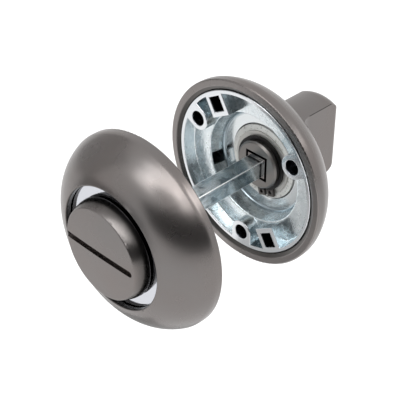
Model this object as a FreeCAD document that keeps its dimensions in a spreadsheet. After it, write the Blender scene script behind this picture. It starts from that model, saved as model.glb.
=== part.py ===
import FreeCAD, Part
import Sketcher
import math
import os
import re

# Bathroom thumb turn lock: two round roses on either side of a door, a thumb turn on the inside, a coin
# button on the outside and one square spindle that joins them. The spindle lies along Y. The inside rose
# rests on the plane y = 0 and points along +Y, and the outside rose is the same casting turned about Z.

doc = FreeCAD.newDocument("thumb_turn_lock")
sizes = doc.addObject("Spreadsheet::Sheet", "Sizes")

# Driving sizes in millimetres and degrees. Levels are heights above the door face of a rose.
driving = {
    "door_thickness": 34.0,
    # cover: a cast ring with a domed front and an open window
    "rose_diameter": 53.0,
    "cover_height": 11.8,
    "skirt_height": 2.2,
    "dome_radius": 14.4,
    "dome_edge": 4.0,
    "window_diameter": 32.8,
    "window_round": 0.3,
    "lip_depth": 1.8,
    "lip_relief": 0.35,
    "relief_width": 0.9,
    "rim_width": 2.95,
    "rim_land": 1.8,
    "rim_chamfer": 0.7,
    "rim_round": 0.35,
    "rim_gap": 0.25,
    "cover_gap": 0.4,
    "seat_width": 2.3,
    # base: a dished casting that the cover sits on
    "base_recess": 0.45,
    "base_skirt": 4.5,
    "plate_thickness": 1.2,
    "rim_wall": 1.1,
    "rim_draft": 0.4,
    "ledge_level": 4.2,
    "ledge_width": 6.05,
    "dish_draft": 1.2,
    "floor_round": 1.0,
    "ledge_round": 0.4,
    "cast_round": 0.2,
    # door fixing: three screws in bosses
    "screw_angle": 30.0,
    "screw_count": 3.0,
    "screw_inset": 2.55,
    "screw_hole": 4.2,
    "boss_wall": 1.3,
    "screw_seat": 5.2,
    "screw_seat_floor": 1.2,
    # two slotted frames on the same ledge
    "frame_angle": 120.0,
    "frame_inset": 2.25,
    "frame_slot_length": 4.2,
    "frame_slot_width": 3.8,
    "frame_wall": 1.4,
    # square port through the dish wall and a low stop bar on the floor in front of it
    "port_angle": 196.0,
    "port_width": 3.6,
    "port_roof": 0.4,
    "port_sill": 0.8,
    "bar_inset": 1.2,
    "bar_width": 1.2,
    "bar_height": 0.8,
    # bearing of a turning neck
    "neck_diameter": 13.8,
    "neck_end": 1.45,
    "neck_chamfer": 0.5,
    "running_gap": 0.05,
    "bush_wall": 1.1,
    "bush_gap": 0.03,
    "flange_width": 2.65,
    "flange_thickness": 0.9,
    "flange_seat": 0.5,
    "flange_gap": 0.35,
    "washer_width": 2.2,
    "washer_thickness": 0.4,
    "washer_gap": 0.15,
    "circlip_thickness": 0.8,
    "circlip_width": 1.5,
    "circlip_angle": 287.0,
    "circlip_gap": 1.0,
    "circlip_ear_width": 2.2,
    "circlip_ear_length": 1.7,
    "circlip_ear_hole": 1.1,
    "groove_depth": 0.6,
    "groove_gap": 0.03,
    # turning heads
    "turn_diameter": 24.4,
    "collar_step": 2.4,
    "head_gap": 1.4,
    "knob_length": 21.4,
    "knob_crown": 0.9,
    "knob_edge": 4.0,
    "wing_thickness": 10.2,
    "wing_length": 12.4,
    "wing_round": 2.0,
    "scoop_radius": 7.6,
    "coin_height": 3.2,
    "coin_crown": 0.2,
    "coin_edge": 0.25,
    "coin_gap": 0.5,
    "coin_flare": 1.2,
    "coin_bulge": 9.0,
    "head_edge": 0.35,
    "coin_slot_width": 1.7,
    "coin_slot_depth": 1.5,
    "coin_slot_end": 11.3,
    # spindle and the sleeves that fit it to the square sockets
    "spindle_width": 5.0,
    "spindle_round": 0.35,
    "spindle_chamfer": 0.3,
    "socket_width": 7.4,
    "knob_socket_depth": 12.0,
    "coin_socket_depth": 6.4,
    "socket_play": 0.7,
    "sleeve_gap": 0.06,
}

for row, (alias, value) in enumerate(driving.items(), start=1):
    sizes.set(f"A{row}", alias.replace("_", " "))
    sizes.set(f"B{row}", str(value))
    sizes.setAlias(f"B{row}", alias)
doc.recompute()

# Levels above the door face that several pieces share, as formulas of the driving sizes.
plate_front = "(cover_height - lip_depth)"
floor_level = f"({plate_front} - plate_thickness)"
flange_front = f"({floor_level} + flange_seat)"
flange_back = f"({flange_front} - flange_thickness)"
washer_top = f"({flange_back} - running_gap)"
washer_back = f"({washer_top} - washer_thickness)"
circlip_back = f"({washer_back} - circlip_thickness)"
neck_level = f"({circlip_back} - neck_end)"
collar_level = f"({plate_front} + running_gap)"
knob_reach = "(cover_height + knob_length)"
coin_reach = "(cover_height + coin_height)"

# Radii about the spindle axis that several pieces share.
rose_radius = "(rose_diameter / 2)"
window_radius = "(window_diameter / 2)"
cover_bore = f"({rose_radius} - rim_width)"
base_radius = f"({cover_bore} - rim_gap)"
plate_radius = f"({window_radius} + seat_width - cover_gap)"
rim_radius = f"({base_radius} - rim_wall)"
ledge_radius = f"({rim_radius} - rim_draft)"
ledge_bore = f"({ledge_radius} - ledge_width)"
floor_radius = f"({ledge_bore} - dish_draft)"
neck_radius = "(neck_diameter / 2)"
bush_bore = f"({neck_radius} + running_gap)"
bush_radius = f"({bush_bore} + bush_wall)"
flange_radius = f"({bush_radius} + flange_width)"
groove_radius = f"({neck_radius} - groove_depth)"
head_radius = "(turn_diameter / 2)"
HALF_ROUND = "half round"
HOLLOW = "hollow"


def bound(formula):
    """The formula with each driving size written as its cell of the sheet."""
    return re.sub(r"[a-z_]+", lambda word: "Sizes." + word[0] if word[0] in driving else word[0], formula)


def number(formula):
    """The present value of a formula."""
    return float(sizes.evalExpression(formula))


def new_body(name):
    body = doc.addObject("PartDesign::Body", name)
    body.Label = name
    return body


def origin_part(body, role):
    """A plane or axis of the body's own origin."""
    return next(part for part in body.Origin.OriginFeatures if part.Role == role)


def new_sketch(body, name, role, level=None, angle=None):
    """A sketch on an origin plane, lifted to a level above the door face and turned about the spindle."""
    sketch = body.newObject("Sketcher::SketchObject", f"{body.Name}_{name}")
    sketch.AttachmentSupport = [(origin_part(body, role), "")]
    sketch.MapMode = "FlatFace"
    if level is not None:
        sketch.setExpression("AttachmentOffset.Base.z", bound(f"-({level})"))
    if angle is not None:
        sketch.setExpression("AttachmentOffset.Rotation.Angle", bound(angle))
    return sketch


def pin_point(sketch, geometry, end, across, along):
    """Hold a point of a sketch at two formulas from the origin."""
    for direction, axis, formula in (("X", -2, across), ("Y", -1, along)):
        value = number(formula)
        if value == 0:
            sketch.addConstraint(Sketcher.Constraint("PointOnObject", geometry, end, axis))
            continue
        index = sketch.addConstraint(Sketcher.Constraint("Distance" + direction, -1, 1, geometry, end, value))
        name = f"{direction.lower()}{geometry}_{end}"
        sketch.renameConstraint(index, name)
        sketch.setExpression(f"Constraints.{name}", bound(formula))


def hold_radius(sketch, geometry, radius):
    index = sketch.addConstraint(Sketcher.Constraint("Radius", geometry, number(radius)))
    name = f"radius{geometry}"
    sketch.renameConstraint(index, name)
    sketch.setExpression(f"Constraints.{name}", bound(radius))


def add_circle(sketch, across, along, radius):
    """A circle about a pinned centre."""
    centre = FreeCAD.Vector(number(across), number(along), 0)
    geometry = sketch.addGeometry(Part.Circle(centre, FreeCAD.Vector(0, 0, 1), number(radius)))
    pin_point(sketch, geometry, 3, across, along)
    hold_radius(sketch, geometry, radius)


def add_arc(sketch, start, finish, radius):
    """An arc between two points that turns left on its way, as every arc of a sketch does."""
    chord = finish - start
    half = chord.Length / 2
    left = FreeCAD.Vector(-chord.y, chord.x, 0).normalize()
    centre = (start + finish) / 2 + left * math.sqrt(max(radius * radius - half * half, 0))
    first = math.atan2(start.y - centre.y, start.x - centre.x)
    last = math.atan2(finish.y - centre.y, finish.x - centre.x)
    circle = Part.Circle(centre, FreeCAD.Vector(0, 0, 1), radius)
    sketch.addGeometry(Part.ArcOfCircle(circle, first, last))


def outline(sketch, corners):
    """A closed outline, anticlockwise. A corner is two formulas. A third one is the radius of an arc that
    bulges outwards on its way to the next corner, or inwards if HOLLOW follows, or it is HALF_ROUND for a
    half circle straight below."""
    points = [FreeCAD.Vector(number(corner[0]), number(corner[1]), 0) for corner in corners]
    count = len(corners)
    ends = []
    for place, corner in enumerate(corners):
        start = points[place]
        finish = points[(place + 1) % count]
        ends.append((2, 1) if HOLLOW in corner else (1, 2))
        if len(corner) == 2:
            sketch.addGeometry(Part.LineSegment(start, finish))
        elif corner[2] == HALF_ROUND:
            add_arc(sketch, start, finish, (finish - start).Length / 2)
        elif HOLLOW in corner:
            add_arc(sketch, finish, start, number(corner[2]))
        else:
            add_arc(sketch, start, finish, number(corner[2]))
    first = sketch.GeometryCount - count
    for place, corner in enumerate(corners):
        geometry = first + place
        after = (place + 1) % count
        sketch.addConstraint(
            Sketcher.Constraint("Coincident", geometry, ends[place][1], first + after, ends[after][0]))
        pin_point(sketch, geometry, ends[place][0], corner[0], corner[1])
        if len(corner) == 2:
            continue
        if corner[2] == HALF_ROUND:
            sketch.addConstraint(Sketcher.Constraint("Vertical", geometry, 3, geometry, 1))
            continue
        hold_radius(sketch, geometry, corner[2])


def rectangle(sketch, left, right, low, high):
    outline(sketch, [(left, low), (right, low), (right, high), (left, high)])


def revolve(body, name, corners):
    """Turn an outline of (radius, level) corners about the spindle axis."""
    sketch = new_sketch(body, name + "_section", "XY_Plane")
    outline(sketch, corners)
    feature = body.newObject("PartDesign::Revolution", f"{body.Name}_{name}")
    feature.Profile = sketch
    feature.ReferenceAxis = (sketch, ["V_Axis"])
    feature.Angle = 360
    doc.recompute()
    return feature


def pad(body, name, sketch, height):
    """Raise a sketch away from the door by a height."""
    feature = body.newObject("PartDesign::Pad", f"{body.Name}_{name}")
    feature.Profile = sketch
    feature.Reversed = True
    feature.setExpression("Length", bound(height))
    doc.recompute()
    return feature


def pocket(body, name, sketch, depth=None, towards_door=False, both_ways=False):
    """Cut a sketch into the body, away from the door unless told, by a depth or right through."""
    before = body.Shape.Volume
    feature = body.newObject("PartDesign::Pocket", f"{body.Name}_{name}")
    feature.Profile = sketch
    feature.Reversed = towards_door
    if both_ways:
        feature.SideType = "Symmetric"
    if depth is None:
        feature.Type = "ThroughAll"
    else:
        feature.setExpression("Length", bound(depth))
    doc.recompute()
    if not feature.Shape.Volume < before:
        raise ValueError(f"{feature.Name} cuts nothing")
    return feature


def polar(body, name, originals, count):
    """Repeat features about the spindle axis."""
    feature = body.newObject("PartDesign::PolarPattern", f"{body.Name}_{name}")
    feature.Originals = originals
    feature.Axis = (origin_part(body, "Y_Axis"), [""])
    feature.Angle = 360
    feature.setExpression("Occurrences", bound(count))
    body.Tip = feature
    doc.recompute()
    return feature


def round_edges(body, name, base, radius, chosen):
    """Fillet the edges of a feature that a test picks out."""
    names = [f"Edge{place}" for place, edge in enumerate(base.Shape.Edges, start=1) if chosen(edge)]
    feature = body.newObject("PartDesign::Fillet", f"{body.Name}_{name}")
    feature.Base = (base, names)
    feature.setExpression("Radius", bound(radius))
    doc.recompute()
    return feature


def ring_edge(radius, level):
    """A test for the full circle of a radius at a level about the spindle axis."""
    def chosen(edge):
        if edge.Degenerated or not isinstance(edge.Curve, Part.Circle):
            return False
        curve = edge.Curve
        at_level = abs(curve.Center.y - number(level)) < 1e-4
        return at_level and abs(curve.Radius - number(radius)) < 1e-4
    return chosen


def flat_edge(level):
    """A test for the edges that lie in the plane of a level."""
    def chosen(edge):
        box = edge.BoundBox
        return abs(box.YMin - number(level)) < 1e-4 and abs(box.YMax - number(level)) < 1e-4
    return chosen


def put_outside(body):
    """Turn a piece of the outside rose to face away from the other side of the door."""
    body.Placement = FreeCAD.Placement(FreeCAD.Vector(), FreeCAD.Rotation(FreeCAD.Vector(0, 0, 1), 180))
    body.setExpression("Placement.Base.y", bound("-door_thickness"))


def make_cover(name):
    """Cast ring: upright skirt, domed front, window lip that seats on the base, chamfered back rim."""
    body = new_body(name)
    relief_radius = f"{window_radius} + relief_width"
    ring = revolve(body, "ring", [
        (f"{rose_radius} - rim_land", "0"),
        (rose_radius, "0"),
        (rose_radius, "skirt_height", "dome_radius"),
        (window_radius, "cover_height"),
        (window_radius, f"{plate_front} + lip_relief"),
        (relief_radius, f"{plate_front} + lip_relief"),
        (relief_radius, plate_front),
        (f"{window_radius} + seat_width", plate_front),
        (cover_bore, "base_skirt"),
        (cover_bore, "rim_chamfer"),
    ])
    ring = round_edges(body, "back_edge", ring, "rim_round", ring_edge(rose_radius, "0"))
    ring = round_edges(body, "dome_edge", ring, "dome_edge", ring_edge(rose_radius, "skirt_height"))
    round_edges(body, "window_edge", ring, "window_round", ring_edge(window_radius, "cover_height"))
    return body


def make_base(name):
    """Dished casting: rim land, ledge with bosses and frames, deeper floor with the bearing's bore."""
    body = new_body(name)
    bush_hole = f"{bush_radius} + bush_gap"
    flange_hole = f"{flange_radius} + flange_gap"
    dish = revolve(body, "dish", [
        (bush_hole, flange_front),
        (flange_hole, flange_front),
        (flange_hole, floor_level),
        (floor_radius, floor_level),
        (ledge_bore, "ledge_level"),
        (ledge_radius, "ledge_level"),
        (rim_radius, "base_recess"),
        (base_radius, "base_recess"),
        (base_radius, "base_skirt"),
        (plate_radius, plate_front),
        (bush_hole, plate_front),
    ])
    dish = round_edges(body, "floor_corner", dish, "floor_round", ring_edge(floor_radius, floor_level))
    dish = round_edges(body, "ledge_corner", dish, "ledge_round", ring_edge(ledge_radius, "ledge_level"))
    round_edges(body, "ledge_edge", dish, "ledge_round", ring_edge(ledge_bore, "ledge_level"))

    boss_height = "ledge_level - base_recess"
    boss_half = "(screw_hole / 2 + boss_wall)"
    boss_end = f"{rim_radius} + rim_wall / 2"
    screw_radius = f"{ledge_radius} - screw_inset"
    boss_sketch = new_sketch(body, "boss_outline", "XZ_Plane", "base_recess", "screw_angle")
    outline(boss_sketch, [
        (boss_end, f"-{boss_half}"),
        (boss_end, boss_half),
        (screw_radius, boss_half, HALF_ROUND),
        (screw_radius, f"-{boss_half}"),
    ])
    boss = pad(body, "boss", boss_sketch, boss_height)
    hole_sketch = new_sketch(body, "screw_hole_outline", "XZ_Plane", "base_recess", "screw_angle")
    add_circle(hole_sketch, screw_radius, "0", "screw_hole / 2")
    hole = pocket(body, "screw_hole", hole_sketch)
    seat_level = "ledge_level + screw_seat_floor"
    seat_sketch = new_sketch(body, "screw_seat_outline", "XZ_Plane", seat_level, "screw_angle")
    add_circle(seat_sketch, screw_radius, "0", "screw_seat / 2")
    seat = pocket(body, "screw_seat", seat_sketch)
    polar(body, "screws", [boss, hole, seat], "screw_count")

    slot_inner = f"{ledge_radius} - frame_inset - frame_slot_length / 2"
    slot_outer = f"{ledge_radius} - frame_inset + frame_slot_length / 2"
    frame_half = "(frame_slot_width / 2 + frame_wall)"
    frame_sketch = new_sketch(body, "frame_outline", "XZ_Plane", "base_recess", "frame_angle")
    rectangle(frame_sketch, f"{slot_inner} - frame_wall", boss_end, f"-{frame_half}", frame_half)
    frame = pad(body, "frame", frame_sketch, boss_height)
    slot_sketch = new_sketch(body, "frame_slot_outline", "XZ_Plane", "base_recess", "frame_angle")
    rectangle(slot_sketch, slot_inner, slot_outer, "-frame_slot_width / 2", "frame_slot_width / 2")
    slot = pocket(body, "frame_slot", slot_sketch)
    polar(body, "frames", [frame, slot], "2")

    port_half = "port_width / 2"
    port_level = "ledge_level + port_roof"
    port_sketch = new_sketch(body, "port_outline", "XZ_Plane", port_level, "port_angle")
    rectangle(port_sketch, f"{floor_radius} - floor_round", base_radius, f"-{port_half}", port_half)
    pocket(body, "port", port_sketch, f"{floor_level} - port_sill - ({port_level})")
    bar_end = f"{floor_radius} - bar_inset"
    bar_sketch = new_sketch(body, "bar_outline", "XZ_Plane", f"{floor_level} - bar_height", "port_angle")
    rectangle(bar_sketch, f"{bar_end} - bar_width", bar_end, f"-{port_half}", port_half)
    bar = pad(body, "bar", bar_sketch, "bar_height + plate_thickness / 2")
    round_edges(body, "cast_edges", bar, "cast_round", flat_edge("base_recess"))
    return body


def make_bush(name):
    """Flanged nylon bearing, pushed into the base from the door side."""
    body = new_body(name)
    revolve(body, "bearing", [
        (bush_bore, flange_back),
        (flange_radius, flange_back),
        (flange_radius, flange_front),
        (bush_radius, flange_front),
        (bush_radius, plate_front),
        (bush_bore, plate_front),
    ])
    return body


def make_washer(name):
    """Flat steel thrust washer behind the bush's flange."""
    body = new_body(name)
    hole = f"{neck_radius} + washer_gap"
    rim = f"{neck_radius} + washer_width"
    revolve(body, "washer", [
        (hole, washer_back),
        (rim, washer_back),
        (rim, washer_top),
        (hole, washer_top),
    ])
    return body


def make_circlip(name):
    """Spring clip in the neck's groove, open near the bottom between two ears with plier holes."""
    body = new_body(name)
    inner = f"{groove_radius} + groove_gap"
    outer = f"({groove_radius} + groove_gap + circlip_width)"
    thickness = "circlip_thickness"
    ring_sketch = new_sketch(body, "ring_outline", "XZ_Plane", circlip_back, "circlip_angle")
    add_circle(ring_sketch, "0", "0", outer)
    add_circle(ring_sketch, "0", "0", inner)
    pad(body, "ring", ring_sketch, thickness)
    ear_half = "(circlip_gap / 2 + circlip_ear_width)"
    ear_sketch = new_sketch(body, "ear_outline", "XZ_Plane", circlip_back, "circlip_angle")
    ear_end = f"{outer} + circlip_ear_length"
    rectangle(ear_sketch, f"{outer} - circlip_width / 2", ear_end, f"-{ear_half}", ear_half)
    pad(body, "ears", ear_sketch, thickness)
    gap_sketch = new_sketch(body, "gap_outline", "XZ_Plane", circlip_back, "circlip_angle")
    gap_half = "circlip_gap / 2"
    rectangle(gap_sketch, "circlip_width", f"{ear_end} + circlip_width", f"-{gap_half}", gap_half)
    pocket(body, "gap", gap_sketch)
    hole_sketch = new_sketch(body, "ear_hole_outline", "XZ_Plane", circlip_back, "circlip_angle")
    hole_across = f"{outer} + circlip_ear_length / 2 - circlip_ear_hole / 4"
    hole_along = "circlip_gap / 2 + circlip_ear_width / 2"
    add_circle(hole_sketch, hole_across, hole_along, "circlip_ear_hole / 2")
    add_circle(hole_sketch, hole_across, f"-({hole_along})", "circlip_ear_hole / 2")
    pocket(body, "ear_holes", hole_sketch)
    return body


def make_turn(name, reach, crown, edge, foot, socket_depth):
    """Turned head, collar and grooved neck with a square socket: the start of both turning pieces. The foot
    is the corner at the back of the head's side."""
    body = new_body(name)
    collar_radius = f"{neck_radius} + collar_step"
    crown_radius = f"({head_radius} ^ 2 + {crown} ^ 2) / (2 * {crown})"
    turned = revolve(body, "turned", [
        ("0", neck_level),
        (f"{neck_radius} - neck_chamfer", neck_level),
        (neck_radius, f"{neck_level} + neck_chamfer"),
        (neck_radius, f"{circlip_back} - groove_gap"),
        (groove_radius, f"{circlip_back} - groove_gap"),
        (groove_radius, f"{washer_back} + groove_gap"),
        (neck_radius, f"{washer_back} + groove_gap"),
        (neck_radius, collar_level),
        (collar_radius, collar_level),
        (collar_radius, foot[1]),
        foot,
        (head_radius, f"{reach} - {crown}", crown_radius),
        ("0", reach),
    ])
    rounded = round_edges(body, "front_edge", turned, edge, ring_edge(head_radius, f"{reach} - {crown}"))
    round_edges(body, "head_edge", rounded, "head_edge", ring_edge(foot[0], foot[1]))
    socket_sketch = new_sketch(body, "socket_outline", "XZ_Plane", neck_level)
    half = "socket_width / 2"
    rectangle(socket_sketch, f"-{half}", half, f"-{half}", half)
    pocket(body, "socket", socket_sketch, socket_depth)
    return body


def make_thumb_turn():
    """Inside turn: the head is scooped from both sides to a wing that finger and thumb can hold."""
    foot = (head_radius, f"{plate_front} + head_gap")
    body = make_turn("thumb_turn", knob_reach, "knob_crown", "knob_edge", foot, "knob_socket_depth")
    wing = "wing_thickness / 2"
    outside = "turn_diameter"
    scoop_level = f"{knob_reach} - wing_length"
    scoop_low = f"{scoop_level} - scoop_radius"
    above = f"{knob_reach} * 2"
    scoop_sketch = new_sketch(body, "scoop_outline", "XY_Plane")
    outline(scoop_sketch, [
        (f"{wing} + scoop_radius", scoop_low),
        (outside, scoop_low),
        (outside, above),
        (f"{wing} - wing_round", above),
        (f"{wing} - wing_round", knob_reach, "wing_round", HOLLOW),
        (wing, f"{knob_reach} - wing_round"),
        (wing, scoop_level, "scoop_radius"),
    ])
    scoop = pocket(body, "scoop", scoop_sketch, both_ways=True)
    polar(body, "scoops", [scoop], "2")
    return body


def make_coin_turn():
    """Outside turn: a low button with a bulging side, and a slot that runs out at one side of the face and
    ends round at the other."""
    foot = (f"{head_radius} + coin_flare", f"{plate_front} + coin_gap", "coin_bulge")
    body = make_turn("coin_turn", coin_reach, "coin_crown", "coin_edge", foot, "coin_socket_depth")
    half = "coin_slot_width / 2"
    slot_sketch = new_sketch(body, "slot_outline", "XZ_Plane", coin_reach)
    outline(slot_sketch, [
        (f"{half} - coin_slot_end", f"-{half}"),
        ("turn_diameter", f"-{half}"),
        ("turn_diameter", half),
        (f"{half} - coin_slot_end", half, HALF_ROUND),
    ])
    pocket(body, "slot", slot_sketch, "coin_slot_depth", towards_door=True)
    put_outside(body)
    return body


def make_sleeve(name, length):
    """Square reducing sleeve that fills a socket round the spindle."""
    body = new_body(name)
    outer = "(socket_width / 2 - socket_play)"
    inner = "(spindle_width / 2 + sleeve_gap)"
    sleeve_sketch = new_sketch(body, "sleeve_outline", "XZ_Plane", neck_level)
    rectangle(sleeve_sketch, f"-{outer}", outer, f"-{outer}", outer)
    rectangle(sleeve_sketch, f"-{inner}", inner, f"-{inner}", inner)
    pad(body, "sleeve", sleeve_sketch, length)
    return body


def make_spindle():
    """Square bar with eased corners from the bottom of one socket to the bottom of the other."""
    body = new_body("spindle")
    half = "spindle_width / 2"
    flat = "(spindle_width / 2 - spindle_round)"
    coin_end = f"-door_thickness - {neck_level} - coin_socket_depth + sleeve_gap"
    length = f"(knob_socket_depth + coin_socket_depth + 2 * {neck_level} + door_thickness - 2 * sleeve_gap)"
    bar_sketch = new_sketch(body, "bar_outline", "XZ_Plane", coin_end)
    outline(bar_sketch, [
        (f"-{flat}", f"-{half}"),
        (flat, f"-{half}", "spindle_round"),
        (half, f"-{flat}"),
        (half, flat, "spindle_round"),
        (flat, half),
        (f"-{flat}", half, "spindle_round"),
        (f"-{half}", flat),
        (f"-{half}", f"-{flat}", "spindle_round"),
    ])
    bar = pad(body, "bar", bar_sketch, length)
    ends = [f"Edge{place}" for place, edge in enumerate(bar.Shape.Edges, start=1)
            if abs(edge.Vertexes[0].Y - edge.Vertexes[1].Y) < 1e-6]
    chamfer = body.newObject("PartDesign::Chamfer", "spindle_ends")
    chamfer.Base = (bar, ends)
    chamfer.setExpression("Size", bound("spindle_chamfer"))
    doc.recompute()
    return body


inside_sleeve = make_sleeve("inside_sleeve", "knob_socket_depth")
pieces = [make_thumb_turn(), inside_sleeve, make_spindle(), make_coin_turn()]
outside_sleeve = make_sleeve("outside_sleeve", "coin_socket_depth")
put_outside(outside_sleeve)
pieces.append(outside_sleeve)
for side in ("inside", "outside"):
    rose = [
        make_cover(f"{side}_cover"),
        make_base(f"{side}_base"),
        make_bush(f"{side}_bush"),
        make_washer(f"{side}_washer"),
        make_circlip(f"{side}_circlip"),
    ]
    if side == "outside":
        for piece in rose:
            put_outside(piece)
    pieces.extend(rose)
doc.recompute()

failed = [thing.Name for thing in doc.Objects if "Invalid" in thing.State or "Error" in thing.State]
if failed:
    raise RuntimeError(f"these did not build: {failed}")
for piece in pieces:
    if piece.Shape.isNull() or not piece.Shape.isValid() or len(piece.Shape.Solids) != 1:
        raise RuntimeError(f"{piece.Label} is not one valid solid")

os.makedirs("parts", exist_ok=True)
for piece in pieces:
    piece.Shape.exportStep(f"parts/{piece.Label}.step")
    box = piece.Shape.BoundBox
    print(piece.Label, f"{piece.Shape.Volume:.1f} mm3", f"y {box.YMin:.2f} to {box.YMax:.2f}")
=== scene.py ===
import math
import bpy
from mathutils import Matrix, Vector


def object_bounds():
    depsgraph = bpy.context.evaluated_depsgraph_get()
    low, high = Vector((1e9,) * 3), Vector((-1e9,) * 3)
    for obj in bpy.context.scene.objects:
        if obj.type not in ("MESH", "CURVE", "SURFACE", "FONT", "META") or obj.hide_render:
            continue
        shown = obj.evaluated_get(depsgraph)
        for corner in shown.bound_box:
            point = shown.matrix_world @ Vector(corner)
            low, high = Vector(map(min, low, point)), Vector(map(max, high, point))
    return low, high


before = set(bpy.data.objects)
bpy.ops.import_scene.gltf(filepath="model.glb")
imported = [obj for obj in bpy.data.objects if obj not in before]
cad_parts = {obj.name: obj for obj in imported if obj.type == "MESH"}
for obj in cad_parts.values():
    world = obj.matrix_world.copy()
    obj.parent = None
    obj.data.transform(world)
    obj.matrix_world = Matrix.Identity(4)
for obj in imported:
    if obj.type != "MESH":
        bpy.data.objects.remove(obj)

cad_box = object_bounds()
bpy.ops.object.select_all(action="DESELECT")


# Bases: two dished zinc castings with three screw bosses and two slotted frames, plated bright.
# The plating follows the skin of the casting, so it is a soft mirror with slow ripples and small pits.
# Each base is screwed to a face of the door and carries a bush in its middle.

def new_effect(name, inputs, outputs):
    """A shader node group that turns a place and named values into named masks, with its end sockets."""
    group = bpy.data.node_groups.new(name, "ShaderNodeTree")
    group.interface.new_socket("Vector", in_out="INPUT", socket_type="NodeSocketVector")
    for label in inputs:
        group.interface.new_socket(label, in_out="INPUT", socket_type="NodeSocketFloat")
    for label in outputs:
        group.interface.new_socket(label, in_out="OUTPUT", socket_type="NodeSocketFloat")
    return group, group.nodes.new("NodeGroupInput").outputs, group.nodes.new("NodeGroupOutput").inputs


def add_noise(group, given, scale, detail):
    """Noise at a group's given scale, as the socket of its value."""
    noise = group.nodes.new("ShaderNodeTexNoise")
    noise.inputs["Detail"].default_value = detail
    group.links.new(given["Vector"], noise.inputs["Vector"])
    group.links.new(given[scale], noise.inputs["Scale"])
    return noise.outputs["Fac"]


surface_grain, given, gives = new_effect("surface_grain", ("Fine scale", "Patch scale"), ("Grain", "Patch"))
for scale, result, detail in (("Fine scale", "Grain", 3.0), ("Patch scale", "Patch", 4.0)):
    surface_grain.links.new(add_noise(surface_grain, given, scale, detail), gives[result])

PATCH_RANGE = (0.3, 0.7)


def new_finish(name, tones, metallic, roughness, fine_scale, patch_scale, bump, stretch=(1.0, 1.0, 1.0)):
    """A material whose colour and roughness wander between two values over patches of surface grain."""
    material = bpy.data.materials.new(name)
    material.use_nodes = True
    tree = material.node_tree
    shader = tree.nodes["Principled BSDF"]
    shader.inputs["Metallic"].default_value = metallic
    place = tree.nodes.new("ShaderNodeTexCoord")
    mapping = tree.nodes.new("ShaderNodeMapping")
    mapping.inputs["Scale"].default_value = stretch
    tree.links.new(place.outputs["Object"], mapping.inputs["Vector"])
    grain = tree.nodes.new("ShaderNodeGroup")
    grain.name = "grain"
    grain.node_tree = surface_grain
    grain.inputs["Fine scale"].default_value = fine_scale
    grain.inputs["Patch scale"].default_value = patch_scale
    tree.links.new(mapping.outputs["Vector"], grain.inputs["Vector"])
    tone = tree.nodes.new("ShaderNodeMix")
    tone.data_type = "RGBA"
    tone.inputs["A"].default_value = (*tones[0], 1.0)
    tone.inputs["B"].default_value = (*tones[1], 1.0)
    tree.links.new(grain.outputs["Patch"], tone.inputs["Factor"])
    tree.links.new(tone.outputs["Result"], shader.inputs["Base Color"])
    rough = tree.nodes.new("ShaderNodeMapRange")
    rough.inputs["From Min"].default_value = PATCH_RANGE[0]
    rough.inputs["From Max"].default_value = PATCH_RANGE[1]
    rough.inputs["To Min"].default_value = roughness[0]
    rough.inputs["To Max"].default_value = roughness[1]
    tree.links.new(grain.outputs["Patch"], rough.inputs["Value"])
    tree.links.new(rough.outputs["Result"], shader.inputs["Roughness"])
    relief = tree.nodes.new("ShaderNodeBump")
    relief.name = "relief"
    relief.inputs["Strength"].default_value = 1.0
    relief.inputs["Distance"].default_value = bump
    tree.links.new(grain.outputs["Grain"], relief.inputs["Height"])
    tree.links.new(relief.outputs["Normal"], shader.inputs["Normal"])
    return material


def give_finish(material, *nodes):
    """Put a finish on CAD nodes in place of the plain one they come with."""
    for node in nodes:
        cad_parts[node].material_slots[0].material = material


def calculate(tree, operation, *values, kind="ShaderNodeMath", result="Value"):
    """A math node on sockets and plain values, as the socket of its result."""
    node = tree.nodes.new(kind)
    node.operation = operation
    for socket, value in zip(node.inputs, values):
        if isinstance(value, bpy.types.NodeSocket):
            tree.links.new(value, socket)
        else:
            socket.default_value = value
    return node.outputs[result]


def axis_parts(tree, vector):
    """The X, Y and Z of a vector."""
    split = tree.nodes.new("ShaderNodeSeparateXYZ")
    tree.links.new(vector, split.inputs["Vector"])
    return split.outputs


SPECK_DETAIL = 2.0
SPECK_EDGE = 0.05
speck_mask, given, gives = new_effect("speck_mask", ("Scale", "Level"), ("Mask",))
spots = add_noise(speck_mask, given, "Scale", SPECK_DETAIL)
sharp = speck_mask.nodes.new("ShaderNodeMapRange")
sharp.inputs["From Max"].default_value = SPECK_EDGE
speck_mask.links.new(calculate(speck_mask, "SUBTRACT", spots, given["Level"]), sharp.inputs["Value"])
speck_mask.links.new(sharp.outputs["Result"], gives["Mask"])


def fade_out(group, given, gives, distance, limit):
    """Fill a group's Inside and Outside: inside up to a limit of the distance, fading out past it."""
    inside = group.nodes.new("ShaderNodeMapRange")
    inside.inputs["To Min"].default_value = 1.0
    inside.inputs["To Max"].default_value = 0.0
    group.links.new(distance, inside.inputs["Value"])
    group.links.new(given[limit], inside.inputs["From Min"])
    group.links.new(calculate(group, "ADD", given[limit], given["Fade"]), inside.inputs["From Max"])
    group.links.new(inside.outputs["Result"], gives["Inside"])
    group.links.new(calculate(group, "SUBTRACT", 1.0, inside.outputs["Result"]), gives["Outside"])


# Level over the nearer face of the door, which lies between Y 0 and minus its thickness.
DOOR_HALF = 0.017
door_level, given, gives = new_effect("door_level", ("Level", "Fade"), ("Inside", "Outside"))
along = calculate(door_level, "ADD", axis_parts(door_level, given["Vector"])["Y"], DOOR_HALF)
level = calculate(door_level, "SUBTRACT", calculate(door_level, "ABSOLUTE", along), DOOR_HALF)
fade_out(door_level, given, gives, level, "Level")

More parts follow.
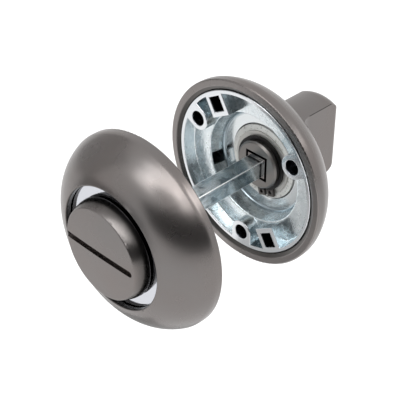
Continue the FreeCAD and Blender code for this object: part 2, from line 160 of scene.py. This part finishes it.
# Distance from an axis along Y, round it and then square to it.
ACROSS_DOOR = (1.0, 0.0, 1.0)
VECTOR_MATH = "ShaderNodeVectorMath"
round_axis, given, gives = new_effect("round_axis", ("Radius", "Fade"), ("Inside", "Outside"))
across = calculate(round_axis, "MULTIPLY", given["Vector"], ACROSS_DOOR, kind=VECTOR_MATH, result="Vector")
fade_out(round_axis, given, gives, calculate(round_axis, "LENGTH", across, kind=VECTOR_MATH), "Radius")

square_axis, given, gives = new_effect("square_axis", ("Half width", "Fade"), ("Inside", "Outside"))
size = calculate(square_axis, "ABSOLUTE", given["Vector"], kind=VECTOR_MATH, result="Vector")
sides = axis_parts(square_axis, size)
fade_out(square_axis, given, gives, calculate(square_axis, "MAXIMUM", sides["X"], sides["Z"]), "Half width")


def put_effect(material, effect, values, centre=(0.0, 0.0, 0.0), turn=0.0):
    """Lay an effect about a centre, turned about the lock's axis, over a material and return its masks."""
    tree = material.node_tree
    place = tree.nodes.new("ShaderNodeTexCoord")
    shift = tree.nodes.new("ShaderNodeMapping")
    shift.vector_type = "TEXTURE"
    shift.inputs["Location"].default_value = centre
    shift.inputs["Rotation"].default_value = (0.0, -turn, 0.0)
    tree.links.new(place.outputs["Object"], shift.inputs["Vector"])
    node = tree.nodes.new("ShaderNodeGroup")
    node.node_tree = effect
    for label, value in values.items():
        node.inputs[label].default_value = value
    tree.links.new(shift.outputs["Vector"], node.inputs["Vector"])
    return node.outputs


def overlap(material, shared, *masks):
    """The part that all of some masks share."""
    for mask in masks:
        shared = calculate(material.node_tree, "MULTIPLY", shared, mask)
    return shared


def lay_over(tree, socket, mask, value, kind):
    """Lay another value over what feeds a socket, where a mask is one."""
    under = socket.links[0].from_socket
    layer = tree.nodes.new("ShaderNodeMix")
    layer.data_type = kind
    layer.inputs["B"].default_value = value
    tree.links.new(mask, layer.inputs["Factor"])
    tree.links.new(under, layer.inputs["A"])
    tree.links.new(layer.outputs["Result"], socket)


def tint_where(material, mask, colour):
    """Give a finish another colour where a mask is one."""
    tree = material.node_tree
    lay_over(tree, tree.nodes["Principled BSDF"].inputs["Base Color"], mask, (*colour, 1.0), "RGBA")


NO_RELIEF = 0.5


def smooth_where(material, mask, roughness):
    """Give a finish another roughness and no relief where a mask is one."""
    tree = material.node_tree
    lay_over(tree, tree.nodes["Principled BSDF"].inputs["Roughness"], mask, roughness, "FLOAT")
    lay_over(tree, tree.nodes["relief"].inputs["Height"], mask, NO_RELIEF, "FLOAT")


def on_circle(radius, angle):
    """A point on a circle about the lock's axis."""
    return (radius * math.cos(angle), 0.0, radius * math.sin(angle))


FINE_FADE = 0.00005
FLAT_FADE = 0.0002
CASTING_TONES = ((0.405, 0.487, 0.525), (0.74, 0.79, 0.81))
PIT_TONE = (0.22, 0.25, 0.27)
LAND_LEVEL = 0.0006
LAND_TONE = (0.72, 0.74, 0.76)
LAND_ROUGHNESS = 0.14
LEDGE_LEVEL = 0.0042
LEDGE_STEP = 0.00015
LEDGE_TONE = (0.93, 0.96, 0.97)
CORNER_LEVEL = 0.00755
CORNER_RADIUS = 0.0135
CORNER_FADE = 0.0006
CORNER_SHADE_TONE = (0.32, 0.375, 0.405)
DISH_LEVEL = 0.0083
DISH_TONE = (0.68, 0.71, 0.72)
DISH_ROUGHNESS = 0.18
RECESS_LEVEL = 0.00885
RECESS_RADIUS = 0.01106
RECESS_SHADE_TONE = (0.02, 0.02, 0.022)
PLATE_LEVEL = 0.0096
PLATE_TONE = (0.60, 0.61, 0.65)
PLATE_ROUGHNESS = 0.08
SCREW_CIRCLE = 0.01925
SCREW_RADIUS = 0.00212
SCREW_ANGLES = (30.0, 150.0, 270.0)
SCREW_HOLE_SHADE_TONE = (0.20, 0.22, 0.26)
SLOT_CIRCLE = 0.01955
SLOT_HALF = 0.00215
SLOT_LEVEL = 0.0009
SLOT_SHADE_TONE = (0.03, 0.03, 0.035)
INSIDE_SLOTS = (120.0, 300.0)
OUTSIDE_SLOTS = (60.0, 240.0)


def bright_casting(name, slot_angles):
    """The plating of a base: paler on its flats, with painted shade in the holes, the slots, the corner of
    the dish and the recess round the flange.
    """
    finish = new_finish(
        name, tones=CASTING_TONES, metallic=1.0, roughness=(0.19, 0.30),
        fine_scale=1500.0, patch_scale=520.0, bump=0.00005)
    pits = put_effect(finish, speck_mask, {"Scale": 1700.0, "Level": 0.64})
    tint_where(finish, pits["Mask"], PIT_TONE)
    ledge_up = put_effect(finish, door_level, {"Level": LEDGE_LEVEL - 2 * LEDGE_STEP, "Fade": LEDGE_STEP})
    ledge_down = put_effect(finish, door_level, {"Level": LEDGE_LEVEL + LEDGE_STEP, "Fade": LEDGE_STEP})
    patches = finish.node_tree.nodes["grain"].outputs["Patch"]
    tint_where(finish, overlap(finish, ledge_up["Outside"], ledge_down["Inside"], patches), LEDGE_TONE)
    dish = put_effect(finish, door_level, {"Level": DISH_LEVEL, "Fade": FLAT_FADE})
    tint_where(finish, dish["Outside"], DISH_TONE)
    smooth_where(finish, dish["Outside"], DISH_ROUGHNESS)
    land = put_effect(finish, door_level, {"Level": LAND_LEVEL, "Fade": FLAT_FADE})
    tint_where(finish, land["Inside"], LAND_TONE)
    smooth_where(finish, land["Inside"], LAND_ROUGHNESS)
    plate = put_effect(finish, door_level, {"Level": PLATE_LEVEL, "Fade": FLAT_FADE})
    tint_where(finish, plate["Outside"], PLATE_TONE)
    smooth_where(finish, plate["Outside"], PLATE_ROUGHNESS)
    # Painted shade: the corner where the dish wall meets its floor is made darker.
    corner_up = put_effect(finish, door_level, {"Level": CORNER_LEVEL, "Fade": CORNER_FADE})
    corner_out = put_effect(finish, round_axis, {"Radius": CORNER_RADIUS, "Fade": CORNER_FADE})
    corner = overlap(finish, corner_up["Outside"], plate["Inside"], corner_out["Outside"])
    tint_where(finish, corner, CORNER_SHADE_TONE)
    # Painted shade: the seat recess round the bush's flange is made near black.
    recess_up = put_effect(finish, door_level, {"Level": RECESS_LEVEL, "Fade": FINE_FADE})
    recess_in = put_effect(finish, round_axis, {"Radius": RECESS_RADIUS, "Fade": FINE_FADE})
    recess = overlap(finish, recess_up["Outside"], plate["Inside"], recess_in["Inside"])
    tint_where(finish, recess, RECESS_SHADE_TONE)
    # Painted shade: the screw holes are made dark inside.
    for angle in SCREW_ANGLES:
        hole = put_effect(finish, round_axis, {"Radius": SCREW_RADIUS, "Fade": FINE_FADE},
                          on_circle(SCREW_CIRCLE, math.radians(angle)))
        tint_where(finish, hole["Inside"], SCREW_HOLE_SHADE_TONE)
    # Painted shade: the slots in the frames are made near black inside.
    slot_up = put_effect(finish, door_level, {"Level": SLOT_LEVEL, "Fade": FLAT_FADE})
    for angle in slot_angles:
        turn = math.radians(angle)
        slot = put_effect(finish, square_axis, {"Half width": SLOT_HALF, "Fade": FINE_FADE},
                          on_circle(SLOT_CIRCLE, turn), turn)
        tint_where(finish, overlap(finish, slot["Inside"], slot_up["Outside"]), SLOT_SHADE_TONE)
    return finish


give_finish(bright_casting("bright_casting_inside", INSIDE_SLOTS), "inside_base")
give_finish(bright_casting("bright_casting_outside", OUTSIDE_SLOTS), "outside_base")


# Bushes: flanged bearings moulded in natural nylon, pressed into the bases from the door side.
# The flange shows as a pale ring in the dish, with a few specks of dirt in its surface.

DIRT_TONE = (0.30, 0.29, 0.27)
natural_nylon = new_finish(
    "natural_nylon", tones=((0.64, 0.64, 0.615), (0.80, 0.80, 0.77)), metallic=0.0, roughness=(0.38, 0.52),
    fine_scale=2400.0, patch_scale=260.0, bump=0.00002)
dirt = put_effect(natural_nylon, speck_mask, {"Scale": 2200.0, "Level": 0.62})
tint_where(natural_nylon, dirt["Mask"], DIRT_TONE)
give_finish(natural_nylon, "inside_bush", "outside_bush")


# Thumb turn, coin turn and the sleeves in their sockets: turned zinc with a satin dark nickel finish.
# The heads are blasted and plated and the necks are duller; the insides of the sockets and the sleeves
# sitting in them carry painted shade.

def satin_nickel(name):
    """Blasted and plated zinc, with a fine even grain."""
    return new_finish(
        name, tones=((0.196, 0.166, 0.155), (0.197, 0.192, 0.190)), metallic=1.0, roughness=(0.25, 0.29),
        fine_scale=5200.0, patch_scale=60.0, bump=0.000003)


# Distance from the four lines along Y that stand Across and Upright of the lock's axis.
edge_line, given, gives = new_effect(
    "edge_line", ("Across", "Upright", "Width", "Fade"), ("Inside", "Outside"))
size = calculate(edge_line, "ABSOLUTE", given["Vector"], kind=VECTOR_MATH, result="Vector")
sides = axis_parts(edge_line, size)
apart = edge_line.nodes.new("ShaderNodeCombineXYZ")
for axis, label in (("X", "Across"), ("Z", "Upright")):
    edge_line.links.new(calculate(edge_line, "SUBTRACT", sides[axis], given[label]), apart.inputs[axis])
distance = calculate(edge_line, "LENGTH", apart.outputs["Vector"], kind=VECTOR_MATH)
fade_out(edge_line, given, gives, distance, "Width")

NECK_LEVEL = 0.0086
NECK_TONE = (0.200, 0.188, 0.179)
NECK_ROUGHNESS = 0.38
SOCKET_LEVEL = 0.0125
SOCKET_HALF = 0.00372
SOCKET_SHADE_TONE = (0.008, 0.008, 0.008)
SLEEVE_HALF = 0.00295
TURN_RADIUS = 0.0122
WING_LEVEL = 0.0205
WING_HALF = 0.0051
CREASE_WIDTH = 0.0001
CREASE_TONE = (0.05, 0.047, 0.045)
FOOT_FLARE = 0.0012
FOOT_SHADE_TONE = (0.060, 0.056, 0.054)


def satin_turn(name):
    """The finish of a turning piece, with its dull neck and painted shade inside its socket."""
    finish = satin_nickel(name)
    neck = put_effect(finish, door_level, {"Level": NECK_LEVEL, "Fade": FLAT_FADE})
    tint_where(finish, neck["Inside"], NECK_TONE)
    smooth_where(finish, neck["Inside"], NECK_ROUGHNESS)
    deep = put_effect(finish, door_level, {"Level": SOCKET_LEVEL, "Fade": FLAT_FADE})
    bore = put_effect(finish, square_axis, {"Half width": SOCKET_HALF, "Fade": FINE_FADE})
    tint_where(finish, overlap(finish, deep["Inside"], bore["Inside"]), SOCKET_SHADE_TONE)
    return finish


satin_knob = satin_turn("satin_knob")
wing = put_effect(satin_knob, door_level, {"Level": WING_LEVEL, "Fade": FLAT_FADE})
wing_edge = put_effect(satin_knob, edge_line, {
    "Across": WING_HALF, "Upright": math.sqrt(TURN_RADIUS ** 2 - WING_HALF ** 2),
    "Width": CREASE_WIDTH, "Fade": FINE_FADE})
tint_where(satin_knob, overlap(satin_knob, wing["Outside"], wing_edge["Inside"]), CREASE_TONE)
give_finish(satin_knob, "thumb_turn")

satin_button = satin_turn("satin_button")
# Painted shade: the coin turn's side grows darker towards its foot, next to the window.
foot_shade = put_effect(satin_button, round_axis, {"Radius": TURN_RADIUS, "Fade": FOOT_FLARE})
tint_where(satin_button, foot_shade["Outside"], FOOT_SHADE_TONE)
give_finish(satin_button, "coin_turn")

satin_sleeve = satin_nickel("satin_sleeve")
# Painted shade: the sleeve is near black outside its square bore, where it sits in the socket.
sleeve_wall = put_effect(satin_sleeve, square_axis, {"Half width": SLEEVE_HALF, "Fade": FINE_FADE})
tint_where(satin_sleeve, sleeve_wall["Outside"], SOCKET_SHADE_TONE)
give_finish(satin_sleeve, "inside_sleeve", "outside_sleeve")


# Washers and circlips: spring steel behind the flanges, the clips sprung into the grooves of the necks.
# The clips are blackened unevenly and slightly oily, with paler ears and painted shade on the ring; the
# washers are rubbed bare and pale.

CLIP_RADIUS = 0.0079
EAR_TONE = (0.110, 0.102, 0.097)
black_steel_and_shade = new_finish(
    "black_steel_and_shade", tones=((0.016, 0.016, 0.017), (0.040, 0.039, 0.039)), metallic=1.0,
    roughness=(0.30, 0.48), fine_scale=3000.0, patch_scale=300.0, bump=0.000006)
# The clip's ring is made near black as painted shade in the groove; the ears outside it stay paler.
ears = put_effect(black_steel_and_shade, round_axis, {"Radius": CLIP_RADIUS, "Fade": FINE_FADE})
tint_where(black_steel_and_shade, ears["Outside"], EAR_TONE)
give_finish(black_steel_and_shade, "inside_circlip", "outside_circlip")

pale_steel = new_finish(
    "pale_steel", tones=((0.50, 0.49, 0.47), (0.68, 0.67, 0.64)), metallic=1.0,
    roughness=(0.46, 0.60), fine_scale=3000.0, patch_scale=300.0, bump=0.000006)
give_finish(pale_steel, "inside_washer", "outside_washer")


# Spindle: a cold drawn square steel bar with a thin zinc coat, slid through both sleeves.
# Drawing leaves streaks along the bar, and the coat is cloudy with a blue cast, with a painted highlight
# along its four long corners.

CLOUD_TONE = (0.37, 0.44, 0.48)
BARE_TONE = (0.80, 0.86, 0.88)
BARE_SHIFT = (0.0, 0.047, 0.0)
BAR_CORNER = 0.00242
BAR_EDGE = 0.00016
BAR_EDGE_HIGHLIGHT_TONE = (0.97, 0.98, 0.98)
BAR_EDGE_HIGHLIGHT_ROUGHNESS = 0.5
zinc_bar = new_finish(
    "zinc_bar", tones=((0.50, 0.59, 0.63), (0.82, 0.90, 0.93)), metallic=1.0, roughness=(0.17, 0.25),
    fine_scale=1400.0, patch_scale=900.0, bump=0.000002, stretch=(1.0, 0.05, 1.0))
clouds = put_effect(zinc_bar, speck_mask, {"Scale": 330.0, "Level": 0.57})
tint_where(zinc_bar, clouds["Mask"], CLOUD_TONE)
bare = put_effect(zinc_bar, speck_mask, {"Scale": 260.0, "Level": 0.54}, BARE_SHIFT)
tint_where(zinc_bar, bare["Mask"], BARE_TONE)
# Painted highlight: a thin near-white line along the four long corners of the bar.
bar_edge_highlight = put_effect(zinc_bar, edge_line, {
    "Across": BAR_CORNER, "Upright": BAR_CORNER, "Width": BAR_EDGE, "Fade": FINE_FADE})
tint_where(zinc_bar, bar_edge_highlight["Inside"], BAR_EDGE_HIGHLIGHT_TONE)
smooth_where(zinc_bar, bar_edge_highlight["Inside"], BAR_EDGE_HIGHLIGHT_ROUGHNESS)
give_finish(zinc_bar, "spindle")


# Covers: cast domed rings with the same satin dark nickel as the turns, pressed over the bases.
# The window in the front leaves the bright plate of the base open round the turn.
# The flat ring on the back, which seats on the door, is a little paler; the bore behind it and the lip wall
# of the window carry painted shade.

WINDOW_RADIUS = 0.01646
WINDOW_FADE = 0.0003
WINDOW_SHADE_TONE = (0.06, 0.057, 0.055)
BORE_LEVEL = 0.002
BORE_RADIUS = 0.0244
BORE_SHADE_TONE = (0.10, 0.094, 0.09)
SEAT_LEVEL = 0.0001
SEAT_TONE = (0.248, 0.228, 0.220)
satin_cover = satin_nickel("satin_cover")
# Painted shade: the lip wall inside the window is made dark.
window_shade = put_effect(satin_cover, round_axis, {"Radius": WINDOW_RADIUS, "Fade": WINDOW_FADE})
tint_where(satin_cover, window_shade["Inside"], WINDOW_SHADE_TONE)
# Painted shade: the bore behind the seat ring is made dark.
behind = put_effect(satin_cover, door_level, {"Level": BORE_LEVEL, "Fade": FLAT_FADE})
bore = put_effect(satin_cover, round_axis, {"Radius": BORE_RADIUS, "Fade": FLAT_FADE})
tint_where(satin_cover, overlap(satin_cover, behind["Inside"], bore["Inside"]), BORE_SHADE_TONE)
seat = put_effect(satin_cover, door_level, {"Level": SEAT_LEVEL, "Fade": FINE_FADE})
tint_where(satin_cover, overlap(satin_cover, seat["Inside"], bore["Outside"]), SEAT_TONE)
give_finish(satin_cover, "inside_cover", "outside_cover")


# Studio: a plain white floor well below the lock, even white light all round and four soft boxes.
# Four dark or grey cards, which show only in reflections, give the metal its darker bands.

FLOOR_DROP = 0.12
FLOOR_WIDTH = 6.0
FLOOR_GREY = (0.66, 0.66, 0.66, 1.0)
FLOOR_ROUGHNESS = 0.9
SEEN_LIFT = 0.40
MIRRORED_LIFT = 0.25
WHITE = (1.0, 1.0, 1.0, 1.0)
bpy.ops.mesh.primitive_plane_add(size=FLOOR_WIDTH, location=(0.0, 0.0, -FLOOR_DROP))
floor = bpy.context.object
floor.name = "studio_floor"
floor_paint = bpy.data.materials.new("floor_paint")
floor_paint.use_nodes = True
paint_tree = floor_paint.node_tree
paint = paint_tree.nodes["Principled BSDF"].inputs
paint["Base Color"].default_value = FLOOR_GREY
paint["Roughness"].default_value = FLOOR_ROUGHNESS
paint["Emission Color"].default_value = WHITE
ray = paint_tree.nodes.new("ShaderNodeLightPath").outputs
mirrored = calculate(paint_tree, "MULTIPLY", ray["Is Glossy Ray"], MIRRORED_LIFT)
lifted = calculate(paint_tree, "MULTIPLY_ADD", ray["Is Camera Ray"], SEEN_LIFT, mirrored)
paint_tree.links.new(lifted, paint["Emission Strength"])
floor.data.materials.append(floor_paint)

world = bpy.data.worlds.new("studio_white")
world.use_nodes = True
sky = world.node_tree.nodes["Background"].inputs
sky["Color"].default_value = WHITE
sky["Strength"].default_value = 1.0
bpy.context.scene.world = world

lock_centre = (cad_box[0] + cad_box[1]) / 2


def towards(longitude, latitude):
    """A direction from the lock: longitude 0 is to the front, 90 is +X."""
    turn = math.radians(longitude)
    lift = math.radians(latitude)
    return Vector((math.sin(turn) * math.cos(lift), -math.cos(turn) * math.cos(lift), math.sin(lift)))


def face_lock(thing, longitude, latitude, distance):
    """Put a lamp or a card in a direction from the lock, turned to face it."""
    out = towards(longitude, latitude)
    thing.location = lock_centre + out * distance
    thing.rotation_euler = out.to_track_quat("Z", "Y").to_euler()


def soft_box(name, longitude, latitude, distance, width, height, radiance):
    """A rectangular lamp that faces the lock and looks as bright as its radiance."""
    lamp = bpy.data.lights.new(name, "AREA")
    lamp.shape = "RECTANGLE"
    lamp.size = width
    lamp.size_y = height
    lamp.energy = radiance * math.pi * width * height
    box = bpy.data.objects.new(name, lamp)
    bpy.context.collection.objects.link(box)
    face_lock(box, longitude, latitude, distance)
    box.visible_camera = False


def flag(name, longitude, latitude, distance, width, height, shade):
    """A matt card that faces the lock and is seen only in reflections."""
    bpy.ops.mesh.primitive_plane_add(size=1.0)
    card = bpy.context.object
    card.name = name
    card.scale = (width, height, 1.0)
    face_lock(card, longitude, latitude, distance)
    cloth = bpy.data.materials.new(name + "_cloth")
    cloth.use_nodes = True
    weave = cloth.node_tree.nodes["Principled BSDF"].inputs
    weave["Base Color"].default_value = (shade, shade, shade, 1.0)
    weave["Roughness"].default_value = 1.0
    card.data.materials.append(cloth)
    card.visible_camera = False
    card.visible_diffuse = False
    card.visible_shadow = False


soft_box("overhead_box", longitude=27.0, latitude=66.0, distance=0.6, width=0.46, height=0.28, radiance=2.7)
soft_box("left_box", longitude=-8.0, latitude=47.0, distance=0.7, width=0.26, height=0.24, radiance=2.5)
soft_box("right_box", longitude=68.0, latitude=48.0, distance=0.7, width=0.26, height=0.26, radiance=2.3)
soft_box("back_box", longitude=124.0, latitude=42.0, distance=0.7, width=0.28, height=0.28, radiance=3.6)
flag("front_flag", longitude=54.0, latitude=15.0, distance=0.6, width=1.9, height=0.42, shade=0.05)
flag("left_flag", longitude=-75.0, latitude=20.0, distance=0.7, width=0.7, height=0.8, shade=0.6)
flag("low_flag", longitude=-32.0, latitude=-12.0, distance=0.3, width=0.28, height=0.11, shade=0.30)
flag("gap_flag", longitude=-15.3, latitude=-61.5, distance=0.0478, width=0.034, height=0.034, shade=0.58)


# Camera: looks down on the lock from the front right, as far off as the picture's perspective says.
# It stands a little aside, so that the lock lies in the frame where it does in the picture.

VIEW_LONGITUDE = 45.3
VIEW_LATITUDE = 35.4
VIEW_DISTANCE = 0.292
VIEW_TARGET = Vector((0.0, -0.015, 0.0))
PICTURE_WIDTH = 400.0
TARGET_PIXEL = (200.7, 197.1)
PIXELS_PER_METRE = 3917.0
SENSOR = 36.0
NEAR_LIMIT = 0.01
back = towards(VIEW_LONGITUDE, VIEW_LATITUDE)
right = Vector((math.cos(math.radians(VIEW_LONGITUDE)), math.sin(math.radians(VIEW_LONGITUDE)), 0.0))
up = back.cross(right)
lens = bpy.data.cameras.new("camera")
lens.sensor_width = SENSOR
lens.lens = PIXELS_PER_METRE * VIEW_DISTANCE / PICTURE_WIDTH * SENSOR
lens.clip_start = NEAR_LIMIT
camera = bpy.data.objects.new("camera", lens)
bpy.context.collection.objects.link(camera)
camera.matrix_world = Matrix((right, up, back)).transposed().to_4x4()
camera.location = (VIEW_TARGET + back * VIEW_DISTANCE
                   - right * ((TARGET_PIXEL[0] - PICTURE_WIDTH / 2) / PIXELS_PER_METRE)
                   + up * ((TARGET_PIXEL[1] - PICTURE_WIDTH / 2) / PIXELS_PER_METRE))
bpy.context.scene.camera = camera
bpy.context.scene.view_settings.view_transform = "Standard"
